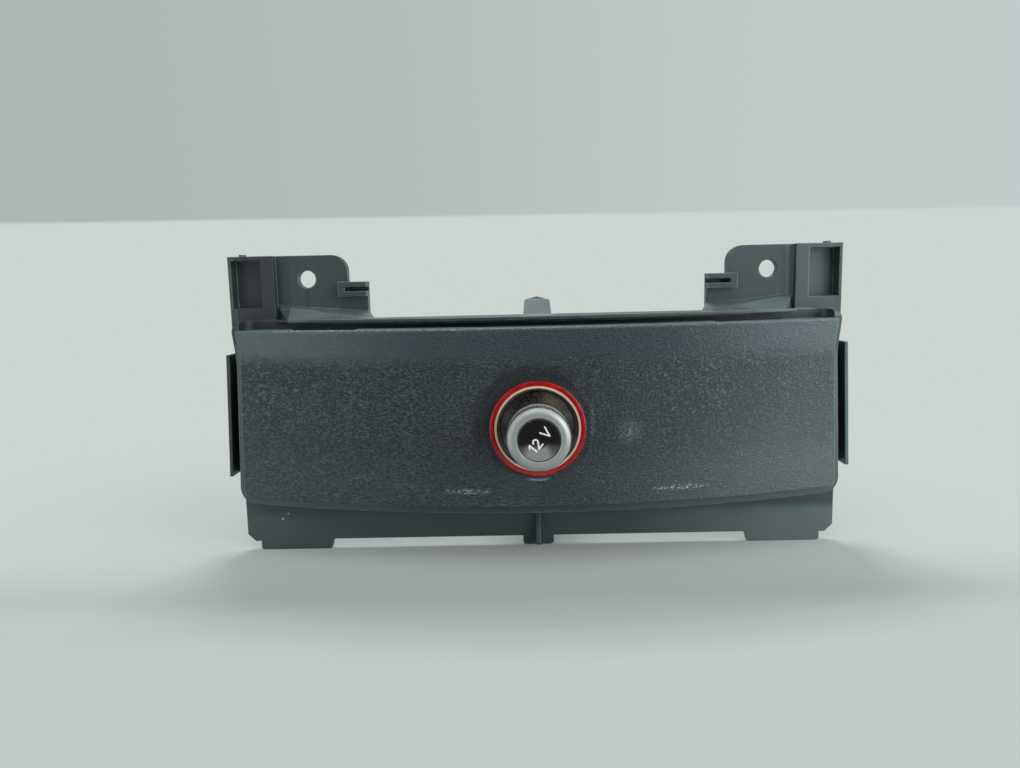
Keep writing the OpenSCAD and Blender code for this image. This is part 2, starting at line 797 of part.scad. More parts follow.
module light_ring() color([0.75, 0.1, 0.08]) to_frame() {
    turned() polygon(concat(
        [[shell_rim_r + nest_gap, shell_rim_y]],
        [[shell_rim_r + nest_gap, 0.15], [shell_rim_r + nest_gap + 0.15, 0]],
        arc([ring_r - 0.4, 0.4], 0.4, 270, 360, 3),
        [
            [ring_r, dish_floor_y], [ring_body_r, dish_floor_y], [ring_body_r, ring_head_len],
            [sleeve_out_r, ring_neck_y], [sleeve_out_r, sleeve_len],
            [sleeve_in_r, sleeve_len], [sleeve_in_r, funnel_depth + 0.3],
            [funnel_r(shell_rim_y) + funnel_skin + nest_gap, shell_rim_y]
        ]
    ));
}

module retaining_collar() color([0.12, 0.12, 0.13]) to_frame() {
    bore = ring_body_r + nest_gap;
    neck = sleeve_out_r + nest_gap;
    bore_out = bore + collar_wall;
    neck_out = neck + collar_wall;
    turned() polygon([
        [bore, seat_y], [collar_d / 2, seat_y], [collar_d / 2, seat_y + 2.5], [bore_out, seat_y + 2.5],
        [bore_out, ring_head_len + 1], [neck_out, ring_neck_y + collar_wall], [neck_out, collar_end],
        [neck, collar_end], [neck, ring_neck_y + nest_gap], [bore, ring_head_len + nest_gap]
    ]);
}

module socket_shell() color("silver") to_frame() {
    difference() {
        turned() polygon([
            [mouth_r, shell_front_y + 0.1], [mouth_r + 0.15, shell_front_y],
            [shell_rim_r - 0.15, shell_front_y], [shell_rim_r, shell_front_y + 0.15],
            [shell_rim_r, shell_rim_y], [funnel_r(shell_rim_y) + funnel_skin, shell_rim_y],
            [barrel_out_r, funnel_depth + 0.2], [barrel_out_r, barrel_len],
            [spigot_d / 2 + nest_gap, barrel_len], [spigot_d / 2 + nest_gap, barrel_floor_y],
            [barrel_r, barrel_floor_y], [barrel_r, funnel_depth]
        ]);
        for (side = sides) translate([side * barrel_r, spring_start_y + spring_len / 2, 0])
            cube([4, spring_len - 4, spring_w + 0.6], center = true);
    }
}

// A ground spring lies against the barrel at both ends and bows in through its slot.
module ground_spring(side) {
    outer = barrel_r - 0.05;
    inner = stem_r + spring_gap + spring_t;
    middle = (spring_start_y + spring_end_y) / 2;
    half_w = spring_w / 2;
    flat_r = sqrt(outer * outer - half_w * half_w);
    mirror([side < 0 ? 1 : 0, 0, 0]) translate([0, 0, -half_w]) linear_extrude(spring_w) polygon([
        [flat_r, spring_start_y - 1], [flat_r, spring_start_y + 1],
        [inner, middle - 2], [inner, middle + 2],
        [flat_r, spring_end_y - 1], [flat_r, spring_end_y + 1],
        [flat_r - spring_t, spring_end_y + 1], [flat_r - spring_t, spring_end_y - 1],
        [inner - spring_t, middle + 2], [inner - spring_t, middle - 2],
        [flat_r - spring_t, spring_start_y + 1], [flat_r - spring_t, spring_start_y - 1]
    ]);
}

module ground_spring_left() color("goldenrod") to_frame() ground_spring(-1);
module ground_spring_right() color("goldenrod") to_frame() ground_spring(1);

// Rear contacts

module rear_insulator() color("sienna") to_frame() {
    difference() {
        turned() polygon([
            [0, insulator_y], [barrel_r - nest_gap, insulator_y], [barrel_r - nest_gap, barrel_floor_y],
            [spigot_d / 2, barrel_floor_y], [spigot_d / 2, washer_y], [0, washer_y]
        ]);
        disc_y(insulator_y - 1, far, rivet_d / 2 + nest_gap / 2);
    }
}

module outer_washer() color("sienna") to_frame() {
    difference() {
        disc_y(washer_y, washer_t, washer_r);
        disc_y(washer_y - 1, washer_t + 2, rivet_d / 2 + nest_gap / 2);
    }
}

// The contact is a sprung dome held by the rivet.
module centre_contact() color("goldenrod") to_frame() {
    dome = 1.4;
    contact_r = contact_d / 2;
    turned() polygon([
        [rivet_d / 2 + nest_gap / 2, insulator_y], [contact_r, insulator_y],
        [contact_r, insulator_y - 0.6], [contact_r * 0.7, insulator_y - dome],
        [rivet_d / 2 + nest_gap / 2, insulator_y - dome]
    ]);
}

module contact_rivet() color("silver") to_frame() {
    head_y = insulator_y - 1.4;
    tail_y = centre_plate_y + terminal_t;
    turned() polygon([
        [0, head_y - 0.9], [rivet_d * 0.5, head_y - 0.7], [rivet_d * 0.85, head_y], [rivet_d / 2, head_y],
        [rivet_d / 2, tail_y], [rivet_d * 0.8, tail_y], [rivet_d * 0.7, tail_y + 0.7], [0, tail_y + 0.9]
    ]);
}

// A flat blade with a narrowed tip.
module blade(front, side) {
    translate([0, 0, side * blade_gap - terminal_t / 2]) linear_extrude(terminal_t) polygon([
        [-blade_w / 2, front], [-blade_w / 2, blade_end_y - 1], [1 - blade_w / 2, blade_end_y],
        [blade_w / 2 - 1, blade_end_y], [blade_w / 2, blade_end_y - 1], [blade_w / 2, front]
    ]);
}

module centre_terminal() color("silver") to_frame() {
    difference() {
        union() {
            disc_y(centre_plate_y, terminal_t, blade_w / 2 + 0.4);
            translate([-blade_w / 2, centre_plate_y, 0]) cube([blade_w, terminal_t, blade_gap]);
            blade(centre_plate_y, 1);
        }
        disc_y(centre_plate_y - 1, terminal_t + 2, rivet_d / 2 + nest_gap / 2);
    }
}

// The ground terminal is a ring around the insulator's spigot, welded to the barrel's bottom. Its strip
// runs past the outer washer and steps in to the blade.
module ground_terminal() color("silver") to_frame() {
    ring_out = barrel_r - 1;
    strip_z = ring_out - 1.8;
    step_y = housing_floor_y - terminal_t;
    difference() {
        disc_y(barrel_len, terminal_t, ring_out);
        disc_y(barrel_len - 1, terminal_t + 2, spigot_d / 2 + nest_gap);
    }
    translate([-blade_w / 2, barrel_len, -strip_z])
        cube([blade_w, housing_floor_y - barrel_len, terminal_t]);
    translate([-blade_w / 2, step_y, -strip_z]) cube([blade_w, terminal_t, strip_z - blade_gap]);
    blade(step_y, -1);
}

module connector_housing() color([0.1, 0.1, 0.11]) to_frame() {
    skirt_in = barrel_out_r + nest_gap;
    skirt_out = skirt_in + shroud_wall;
    skirt_y = sleeve_len + 1;
    difference() {
        union() {
            disc_y(skirt_y, shroud_y - skirt_y, skirt_out);
            along_y(shroud_y - 0.2, shroud_len + 0.2) square([shroud_w, shroud_h], center = true);
            translate([-latch_w / 2, shroud_y, shroud_h / 2]) cube([latch_w, latch_w / 2, shroud_wall]);
        }
        disc_y(skirt_y - 1, housing_floor_y - skirt_y + 1, skirt_in);
        along_y(shroud_y, shroud_len + 1)
            square([shroud_w - 2 * shroud_wall, shroud_h - 2 * shroud_wall], center = true);
        for (side = sides) translate([0, housing_floor_y + housing_floor_t / 2, side * blade_gap])
            cube([blade_w + 0.2, housing_floor_t + 2, terminal_t + 0.2], center = true);
    }
}

// Lamp

module lamp_cavity() {
    translate([0, lamp_y, sleeve_out_r]) cylinder(d = bulb_d + 1, h = bulb_h + 0.8);
    translate([-bulb_d / 2 - 0.1, lamp_y - base_t / 2 - 0.1, sleeve_out_r + bulb_h])
        cube([bulb_d + 0.2, base_t + 0.2, base_len + 0.1]);
}

module lamp_holder() color([0.1, 0.1, 0.11]) to_frame() {
    clip_r = sleeve_out_r + nest_gap;
    difference() {
        union() {
            disc_y(lamp_y - clamp_w / 2, clamp_w, clip_r + clamp_wall);
            translate([-holder_half, lamp_y - holder_len / 2, 0]) cube([holder_w, holder_len, holder_up]);
        }
        disc_y(lamp_y - holder_len, 2 * holder_len, clip_r);
        translate([-clip_r * 0.7, lamp_y - holder_len, -far]) cube([clip_r * 1.4, 2 * holder_len, far - 2]);
        lamp_cavity();
        for (side = sides) lamp_blade(side, 0.1);
    }
}

module lamp_bulb() color([0.95, 0.9, 0.75]) to_frame() {
    translate([0, lamp_y, sleeve_out_r + bulb_d / 2 + 0.6]) {
        sphere(d = bulb_d);
        cylinder(d = bulb_d, h = bulb_h - bulb_d / 2 - 0.6);
    }
    translate([-bulb_d / 2, lamp_y - base_t / 2, sleeve_out_r + bulb_h - 0.6])
        cube([bulb_d, base_t, base_len]);
}

module lamp_blade(side, gap) {
    translate([side * lamp_blade_x - lamp_blade_t / 2 - gap, lamp_y - 2 - gap, lamp_blade_z - gap])
        cube([lamp_blade_t + 2 * gap, lamp_blade_len + gap, lamp_blade_w + 2 * gap]);
}

module lamp_terminal_left() color("goldenrod") to_frame() lamp_blade(-1, 0);
module lamp_terminal_right() color("goldenrod") to_frame() lamp_blade(1, 0);

// Cover plug

// The stem's shoulder rests in the funnel and stops the plug.
module plug_body() color([0.12, 0.12, 0.13]) to_frame() {
    stop_front = 2.5;
    stop_rear = 6;
    turn_end_y = cap_t - knob_front + plug_gap + 0.8;
    bore_r = stem_r - stem_wall;
    turned() polygon([
        [0, turn_end_y], [turn_d / 2 - 0.4, turn_end_y], [turn_d / 2, turn_end_y + 0.4],
        [turn_d / 2, stem_front_y], [stem_r + 0.4, stem_front_y], [stem_r + 0.4, stop_front - 0.6],
        [funnel_r(stop_front) - plug_gap, stop_front], [funnel_r(stop_rear) - plug_gap, stop_rear],
        [stem_r, funnel_depth - 1], [stem_r, stem_in - 1], [stem_r - 1, stem_in],
        [bore_r, stem_in], [bore_r, 2], [0, 2]
    ]);
}

module plug_knob() color([0.72, 0.74, 0.74]) to_frame() {
    front = -knob_front;
    cap_seat_y = front + cap_t;
    turned() polygon(concat(
        [[turn_d / 2 + turn_gap, knob_rear_y], [turn_d / 2 + turn_gap, cap_seat_y]],
        [[cap_d / 2 + nest_gap, cap_seat_y], [cap_d / 2 + nest_gap, front + 0.2], [cap_d / 2 + 0.3, front]],
        arc([knob_r - knob_edge_r, front + knob_edge_r], knob_edge_r, 270, 360),
        [[knob_r, knob_rear_y - 0.5], [knob_r - 0.5, knob_rear_y]]
    ));
}

// The cap is slightly domed and sits in the knob's recess.
module plug_cap() color([0.05, 0.05, 0.06]) to_frame() {
    front = 0.1 - knob_front;
    cap_r = cap_d / 2;
    turned() polygon([
        [0, front - 0.25], [cap_r * 0.4, front - 0.2], [cap_r * 0.75, front - 0.08], [cap_r - 0.3, front],
        [cap_r, front + 0.3], [cap_r, cap_t - knob_front], [0, cap_t - knob_front]
    ]);
}

carrier();
face_panel();
panel_screws();
light_ring();
retaining_collar();
socket_shell();
ground_spring_left();
ground_spring_right();
rear_insulator();
outer_washer();
centre_contact();
contact_rivet();
centre_terminal();
ground_terminal();
connector_housing();
lamp_holder();
lamp_bulb();
lamp_terminal_left();
lamp_terminal_right();
plug_body();
plug_knob();
plug_cap();
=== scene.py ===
import json
import math

import bmesh
import bpy
from mathutils import Matrix, Vector


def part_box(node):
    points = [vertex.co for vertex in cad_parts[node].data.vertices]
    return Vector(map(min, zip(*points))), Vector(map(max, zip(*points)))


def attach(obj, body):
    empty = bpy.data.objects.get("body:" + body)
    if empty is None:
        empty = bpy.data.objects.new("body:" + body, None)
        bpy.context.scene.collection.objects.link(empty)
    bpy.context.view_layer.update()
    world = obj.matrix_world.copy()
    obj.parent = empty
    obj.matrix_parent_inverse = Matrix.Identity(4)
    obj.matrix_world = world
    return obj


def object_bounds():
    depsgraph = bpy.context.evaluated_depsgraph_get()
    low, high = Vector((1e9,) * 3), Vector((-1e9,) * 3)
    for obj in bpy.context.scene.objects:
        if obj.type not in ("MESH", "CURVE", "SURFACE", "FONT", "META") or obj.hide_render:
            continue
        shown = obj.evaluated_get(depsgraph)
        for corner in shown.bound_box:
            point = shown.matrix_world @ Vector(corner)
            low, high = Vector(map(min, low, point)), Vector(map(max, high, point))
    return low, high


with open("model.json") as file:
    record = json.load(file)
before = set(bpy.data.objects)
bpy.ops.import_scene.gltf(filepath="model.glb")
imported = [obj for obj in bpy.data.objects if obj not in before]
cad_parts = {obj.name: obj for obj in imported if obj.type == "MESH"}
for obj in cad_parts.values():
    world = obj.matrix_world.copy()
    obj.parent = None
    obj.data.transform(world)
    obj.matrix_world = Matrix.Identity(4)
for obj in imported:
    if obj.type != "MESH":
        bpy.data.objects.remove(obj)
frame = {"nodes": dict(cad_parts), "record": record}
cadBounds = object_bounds()
nodes = frame["nodes"]
mm = 0.001

# The socket's axis runs along Y. Places are measured from it, and depths from the light ring's front.
ringLow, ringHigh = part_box("light_ring")
axisAcross = (ringLow.x + ringHigh.x) / 2
axisHeight = (ringLow.z + ringHigh.z) / 2
ringFront = ringLow.y
floorHeight = cadBounds[0][2]


def srgb(red, green, blue):
    def linear(part):
        part = part / 255
        return part / 12.92 if part <= 0.04045 else ((part + 0.055) / 1.055) ** 2.4
    return (linear(red), linear(green), linear(blue), 1.0)


# Camera, at the photograph's place in front of the socket

viewpoint = {
    "across": -4.89,  # mm from the socket's axis
    "forward": 256.58,  # mm in front of the light ring
    "up": 50.93,  # mm above the axis
    "look down": 7.8,  # degrees
    "turn left": 0.941,
    "roll": 1.348,
    "focal length": 766 / 1020,  # in picture widths
}


def addCamera():
    down = math.radians(viewpoint["look down"])
    turn = math.radians(-viewpoint["turn left"])
    roll = math.radians(viewpoint["roll"])
    ahead = Vector((math.sin(turn) * math.cos(down), math.cos(turn) * math.cos(down), -math.sin(down)))
    levelRight = Vector((math.cos(turn), -math.sin(turn), 0))
    levelUp = levelRight.cross(ahead)
    right = math.cos(roll) * levelRight - math.sin(roll) * levelUp
    up = math.sin(roll) * levelRight + math.cos(roll) * levelUp
    place = Vector((
        axisAcross + viewpoint["across"] * mm,
        ringFront - viewpoint["forward"] * mm,
        axisHeight + viewpoint["up"] * mm,
    ))
    lens = bpy.data.cameras.new("photoCamera")
    lens.sensor_width = 36
    lens.lens = 36 * viewpoint["focal length"]
    lens.clip_start = 0.01
    camera = bpy.data.objects.new("photoCamera", lens)
    bpy.context.collection.objects.link(camera)
    turned = Matrix((right, up, -ahead)).transposed()
    camera.matrix_world = Matrix.Translation(place) @ turned.to_4x4()
    bpy.context.scene.camera = camera


addCamera()
print("camera placed")


# Shader tools: Wire lets sums on sockets read as Python, Finish makes every other node

class Wire:
    def __init__(self, finish, socket):
        self.finish = finish
        self.socket = socket

    def __add__(self, other):
        return self.finish.sum("ADD", self, other)

    def __radd__(self, other):
        return self.finish.sum("ADD", other, self)

    def __sub__(self, other):
        return self.finish.sum("SUBTRACT", self, other)

    def __rsub__(self, other):
        return self.finish.sum("SUBTRACT", other, self)

    def __mul__(self, other):
        return self.finish.sum("MULTIPLY", self, other)

    def __rmul__(self, other):
        return self.finish.sum("MULTIPLY", other, self)

    def __truediv__(self, other):
        return self.finish.sum("DIVIDE", self, other)

    def __neg__(self):
        return self.finish.sum("MULTIPLY", self, -1.0)

    def __abs__(self):
        return self.finish.sum("ABSOLUTE", self)


class Finish:
    def __init__(self, tree, shader=None):
        self.tree = tree
        self.shader = shader

    def feed(self, node, values):
        for key, value in values.items():
            if isinstance(value, Wire):
                self.tree.links.new(value.socket, node.inputs[key])
            else:
                node.inputs[key].default_value = value

    def add(self, kind, settings=None, values=None, output=0):
        node = self.tree.nodes.new("ShaderNode" + kind)
        for key, value in (settings or {}).items():
            setattr(node, key, value)
        self.feed(node, values or {})
        return Wire(self, node.outputs[output])

    def sum(self, operation, first, second=0.0):
        return self.add("Math", {"operation": operation}, {0: first, 1: second})

    def place(self):
        return self.add("TexCoord", output="Object")

    def axes(self, place=None):
        place = place or self.place()
        return [self.add("SeparateXYZ", values={0: place}, output=index) for index in range(3)]

    def fromAxis(self):
        # Places from the socket's axis and the light ring's front
        x, y, z = self.axes()
        return x - axisAcross, y - ringFront, z - axisHeight

    def length(self, first, second):
        return self.sum("SQRT", first * first + second * second)

    def grains(self, place, scale, detail, rough, swirl):
        return self.add("TexNoise", values={
            "Vector": place, "Scale": scale, "Detail": detail, "Roughness": rough, "Distortion": swirl,
        })

    def noise(self, size, detail=2.0, rough=0.5, swirl=0.0):
        # Grains of one size in mm
        return self.grains(self.place(), 1 / (size * mm), detail, rough, swirl)

    def stretched(self, lengths, detail, rough=0.5, swirl=0.0, turn=0.0):
        # Grains of three lengths in mm, turned in the plane of the face
        laid = self.add("Mapping", {"vector_type": "TEXTURE"}, {
            "Vector": self.place(), "Rotation": (0, turn, 0), "Scale": [length * mm for length in lengths],
        })
        return self.grains(laid, 1.0, detail, rough, swirl)

    def ease(self, value, start, end):
        return self.add("MapRange", {"interpolation_type": "SMOOTHSTEP"}, {
            "Value": value, "From Min": start, "From Max": end,
        })

    def fade(self, value, low, high):
        # The same between two lengths in mm
        return self.ease(value, low * mm, high * mm)

    def colours(self, first, second, amount):
        return self.add("Mix", {"data_type": "RGBA"}, {0: amount, 6: first, 7: second}, 2)

    def rounded(self, radius=0.35):
        # Moulded and pressed edges are never sharp: the normal turns over them, radius in mm
        return self.add("Bevel", {"samples": 6}, {"Radius": radius * mm})

    def flat(self):
        return self.add("NewGeometry", output="Normal")

    def edges(self, radius):
        # 1 along edges, where the turned normal leaves the flat one
        both = {0: self.rounded(radius), 1: self.flat()}
        return 1 - self.ease(self.add("VectorMath", {"operation": "DOT_PRODUCT"}, both, "Value"), 0.86, 0.99)

    def facing(self):
        # 1 where a surface faces the user, 0 on its sides and back
        return 1 - self.ease(self.axes(self.flat())[1], -0.6, -0.2)

    def bump(self, height, depth, under=None):
        # Depth in mm
        values = {"Height": height, "Distance": depth * mm, "Strength": 1.0}
        if under:
            values["Normal"] = under
        return self.add("Bump", values=values)


def newFinish(name, looks):
    material = bpy.data.materials.new(name)
    material.use_nodes = True
    finish = Finish(material.node_tree, material.node_tree.nodes["Principled BSDF"])
    finish.feed(finish.shader, looks)
    finish.material = material
    return finish


def spot(finish, across, height, reach, soft):
    # A round mask on the front, from 1 at its middle to 0 at its edge, in mm from the socket's axis
    x, y, z = finish.fromAxis()
    distance = finish.length(x - across * mm, z - height * mm)
    return 1 - finish.fade(distance, reach - soft, reach)


def band(finish, value, low, high, soft):
    # 1 between low and high, in mm
    return finish.fade(value, low - soft, low) * (1 - finish.fade(value, high, high + soft))


def patch(finish, across, height, spans):
    # 1 inside a rectangle of the front, whose two spans are each from, to and softness in mm
    return band(finish, across, *spans[0]) * band(finish, height, *spans[1])


# Grained plastic of the face: short leather wrinkles that lie differently left and right of the socket,
# fading towards the smooth sweep, with a few scuffs. Painted shade darkens the creases and the face above
# and left of the ring; painted highlights lie on the ridges, the edges and the dish's right rim, and painted light
# makes the sweep's ends, the right side and the bottom paler

grain = {
    "colour": srgb(26, 33, 39),
    "painted shade colour": srgb(4, 4, 9),
    "painted ridge highlight": srgb(100, 114, 120),
    "smooth colour": srgb(37, 49, 56),
    "painted light colour": srgb(73, 87, 90),
    "cloud colour": srgb(54, 64, 66),
    "edge highlight colour": srgb(150, 168, 168),
    "scuff and highlight colour": srgb(206, 213, 211),
    "tint": (0.86, 0.96, 1.0, 1),
    "wrinkle": (0.98, 3.0, 0.37),  # mm: length, depth and width
    "left lie": 0.16,  # radians
    "right lie": -0.5,
    "lie turns": (-25, 25),  # mm across
    "depth": 0.9,  # mm
    "fine grain": 0.3,
    "cloud": 30,
    "edge": 0.65,
    "gloss": 0.36,
    "smooth above": (21.5, 30.0),  # mm above the axis
    "faint to the right": (35, 95),
    "faint below": (-16, 20),  # mm below the axis
    "dish": 20.6,  # mm from the axis
    "paintedRingShade": (-1.2, 1.6, 22.5, 4.0),  # across, up, reach and softness of the painted shade above and left of the ring
    "painted sheen ends": (35, 85),  # mm from the middle, along the smooth sweep
    "painted light right": (0, 70),
    "painted light low": (5, 18),
    "scuffs and rim highlight": [  # across, up, half sizes in mm, strength
        # The third is a painted highlight on the dish's rim right of the ring; the others are scuffs
        (-25, -21.8, 10, 1.1, 1.0), (49.5, -22.2, 12, 1.0, 1.0), (18.6, 3, 0.8, 8, 0.3),
    ],
    "chip": (0.9, 1.0, 0.4),  # mm: length, depth and width
    "chip lie": 0.2,  # radians
    "rubbed": (31.5, -1.4, 6.5),  # across, up and reach of a finely speckled patch
    "speckle": 0.36,
    "arc": (17.7, 18.2, 0.2),  # a pale arc under the ring: from, to and softness in mm from the axis
    "arc ends": (2.0, 4.5),
}


def wrinkles(finish, lie):
    return finish.ease(finish.stretched(grain["wrinkle"], 1.5, 0.45, 0.7, lie), 0.34, 0.66)


def paleMarksAndHighlight(finish):
    # Pale rubbed places, broken up into small chips, with a painted highlight on the dish's right rim among them;
    # also a finely speckled patch and a pale arc under the ring
    x, y, z = finish.fromAxis()
    total = 0.0
    for across, up, halfWidth, halfHeight, strength in grain["scuffs and rim highlight"]:
        dx = (x - across * mm) / (halfWidth * mm)
        dz = (z - up * mm) / (halfHeight * mm)
        total = total + (1 - finish.ease(dx * dx + dz * dz, 0.3, 1.0)) * strength
    chips = finish.ease(finish.stretched(grain["chip"], 2.0, 0.6, 0.0, grain["chip lie"]), 0.52, 0.6)
    across, up, reach = grain["rubbed"]
    speckle = finish.ease(finish.noise(grain["speckle"], 2.0, 0.7), 0.53, 0.63) * 0.8
    rubbed = spot(finish, across, up, reach, reach) * speckle
    arc = band(finish, finish.length(x, z), *grain["arc"]) * (1 - finish.fade(z, -2, 0))
    arc = arc * (1 - finish.fade(abs(x), *grain["arc ends"])) * (chips * 0.5 + 0.4)
    return (total * chips + rubbed + arc) * finish.facing()


def grainedPlastic():
    finish = newFinish("grainedPlastic", {"Specular IOR Level": 0.95, "Specular Tint": grain["tint"]})
    x, y, z = finish.fromAxis()
    rightwards = finish.fade(x, *grain["lie turns"])
    left = wrinkles(finish, grain["left lie"])
    height = left * (1 - rightwards) + wrinkles(finish, grain["right lie"]) * rightwards
    fine = finish.noise(grain["fine grain"], 2.0, 0.6)

    smooth = finish.fade(z + finish.noise(3, 3.0) * (5 * mm), *grain["smooth above"])
    dished = spot(finish, 0, 0, grain["dish"], 0.8)
    faint = finish.fade(x - z * 0.5, *grain["faint to the right"]) * 0.45
    faint = faint + finish.fade(-z, *grain["faint below"]) * 0.3
    amount = (1 - smooth * 0.75) * (1 - dished * 0.2) * (1 - faint)
    crease = (1 - height) * amount
    # How strongly the creases' painted shade and the ridges' painted highlight show: more on the left
    paintedGrainContrast = 1 - rightwards * 0.5

    # Painted light: a sheen on the ends of the smooth sweep, and the right side and the bottom of the face paler
    ends = finish.fade(abs(x), *grain["painted sheen ends"])
    paintedLightRightLow = finish.fade(x, *grain["painted light right"]) * 0.68 + finish.fade(-z, *grain["painted light low"]) * 0.25
    base = finish.colours(grain["colour"], grain["smooth colour"], smooth)
    base = finish.colours(base, grain["painted light colour"], smooth * ends + (1 - smooth) * paintedLightRightLow)
    # Painted shade in the creases and a painted highlight on the ridges
    base = finish.colours(base, grain["painted shade colour"], finish.ease(crease, 0.32, 0.85) * paintedGrainContrast)
    base = finish.colours(base, grain["painted ridge highlight"], finish.ease(height, 0.58, 0.95) * amount * paintedGrainContrast * 0.5)
    cloud = finish.noise(grain["cloud"], 3.0, 0.55)
    base = finish.colours(base, grain["cloud colour"], finish.ease(cloud, 0.45, 0.85) * 0.3)
    # Painted shade: the face darker above and left of the ring
    paintedRingShade = spot(finish, *grain["paintedRingShade"]) * finish.fade(z - x * 0.6, 2, 12)
    base = finish.colours(base, grain["painted shade colour"], paintedRingShade)
    # Painted highlight along the face's rounded edges, weaker on the sweep
    edgeHighlight = finish.edges(grain["edge"]) * (0.8 - finish.fade(z, 22, 28) * 0.5)
    base = finish.colours(base, grain["edge highlight colour"], edgeHighlight)
    finish.feed(finish.shader, {
        "Base Color": finish.colours(base, grain["scuff and highlight colour"], paleMarksAndHighlight(finish) * 0.85),
        "Roughness": grain["gloss"] + crease * 0.3 + paintedRingShade * 0.25 + fine * 0.05,
        "Normal": finish.bump(height * amount + fine * 0.06, grain["depth"], under=finish.rounded()),
    })
    return finish.material


# Moulded plastic of the carrier: nearly smooth, finely textured, dusty on top, its edges paler partly from wear
# and partly a painted highlight

moulded = {
    "colour": srgb(44, 53, 55),
    "dust and light colour": srgb(94, 111, 111),
    "edge highlight colour": srgb(150, 164, 162),
    "tint": (0.88, 0.98, 1.0, 1),
    "texture": 0.35,  # mm
    "depth": 0.03,
    "edge": 0.45,
    "edge wear and highlight": 0.8,
    "gloss": 0.4,
    "shine": 0.9,
}

plasticGrains = {"flow": 22, "dust": 3, "wear": 5}  # mm


def mouldedPlastic(name, looks, marked):
    finish = newFinish(name, {"Specular IOR Level": looks["shine"], "Specular Tint": looks["tint"]})
    fine = finish.noise(looks["texture"], 3.0, 0.6)
    flow = finish.noise(plasticGrains["flow"], 4.0, 0.6, 0.6)
    upwards = finish.ease(finish.axes(finish.flat())[2], 0.35, 0.95)
    # Dust on the faces that look up
    dustAndPaintedLight = upwards * finish.ease(finish.noise(plasticGrains["dust"], 4.0, 0.7), 0.3, 0.75)
    base = finish.colours(looks["colour"], looks["dust and light colour"], dustAndPaintedLight * 0.7)
    base = finish.colours(base, looks["dust and light colour"], finish.ease(flow, 0.5, 0.9) * 0.2)
    # Edges paler: partly wear, partly a painted highlight
    worn = finish.edges(looks["edge"]) * finish.ease(finish.noise(plasticGrains["wear"], 3.0, 0.6), 0.3, 0.6)
    base = finish.colours(base, looks["edge highlight colour"], worn * looks["edge wear and highlight"])
    base, smoother = marked(finish, base)
    finish.feed(finish.shader, {
        "Base Color": base,
        "Roughness": looks["gloss"] + flow * 0.12 - smoother,
        "Normal": finish.bump(fine + flow * 0.4, looks["depth"], under=finish.rounded(looks["edge"])),
    })
    return finish.material


carrierMarks = {
    "holes' offset": 1.1,  # mm to the right of the socket's axis
    # Patches across and up, each from, to and softness in mm
    "slots": ((62.0, 70.4, 0.1), (47.9, 49.4, 0.12)),
    "darkBar": ((-85.6, -84.5, 0.5), (42.5, 49.5, 1.0)),
    "ramps": ((58.0, 93.0, 2.0), (36.6, 42.0, 0.5)),
    "block": ((-110.5, -91.3, 0.2), (30.0, 60.5, 1.0)),
    # Bands across or up, the same way
    "groove end": (30.0, 36.8, 0.4),
    "pocket": (92.0, 108.0, 1.0),
    "lug": (-6.0, 6.0, 0.5),
    # Where a mark begins or ends: across, up, or in depth behind the light ring's front, in mm
    "rails from": (113, 114),
    "dark rail to": (-20, 20),
    "pocket above": (36, 38),
    "lug above": (37.5, 38.0),
    "flange below": (-38, -34),
    "flange paler": (20, 85),
    "ramps from depth": (19, 21),
    "ramps to depth": (28.6, 28.9),
    "slots from depth": (25.6, 25.8),
    "behind block": (26.4, 26.8),
    "groove end to": (-85, -60),
    "groove end to depth": (27, 28),
    "specks": [(87.6, 54.5, 0.35, 0.2), (-97.0, -37.4, 0.5, 0.3), (-94.8, -35.4, 0.35, 0.2)],
    "speck colour": srgb(196, 204, 200),
    "painted rail shade": srgb(14, 19, 20),
    "dark colour": srgb(18, 23, 25),
    "painted slot shade": srgb(8, 9, 10),
}


